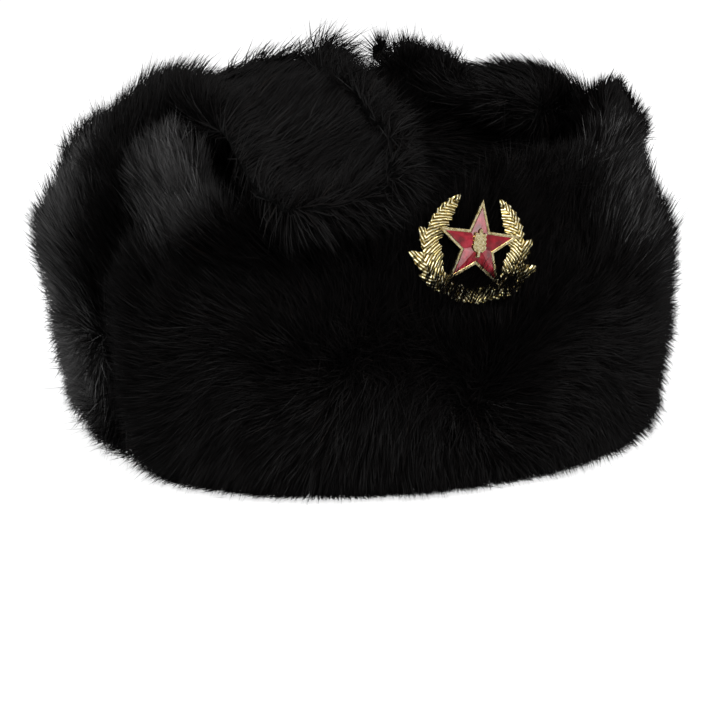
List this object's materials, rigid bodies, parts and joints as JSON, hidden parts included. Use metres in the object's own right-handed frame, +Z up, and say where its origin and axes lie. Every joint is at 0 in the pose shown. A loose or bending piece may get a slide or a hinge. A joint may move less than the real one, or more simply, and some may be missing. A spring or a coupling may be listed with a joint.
{
  "type": "fur trapper hat with flaps tied up",
  "caption": "Winter hat of deep black fur: padded crown, front flap and ear-and-nape flap folded up, lobes tied on top, enamelled star badge.",
  "frame": {"origin": "on the resting surface, below the centre of the bounding box", "axes": "+Z up, the front of the hat with its badge towards -Y, the wearer's left towards +X"},
  "size_m": [0.2557, 0.3024, 0.166],
  "materials": {
    "black_fur": "deep soft fur with a cool sheen",
    "black_lace": "matte woven lace",
    "gilt_metal": "bright stamped gilt",
    "red_enamel": "glossy enamel",
    "steel": "plain"
  },
  "bodies": {
    "root": {"crown": "black_fur", "front_flap": "black_fur", "ear_nape_flap": "black_fur", "tie_lace": "black_lace", "badge_wreath": "gilt_metal", "badge_star": "gilt_metal", "badge_enamel": "red_enamel", "badge_post": "steel"}
  },
  "joints": []
}
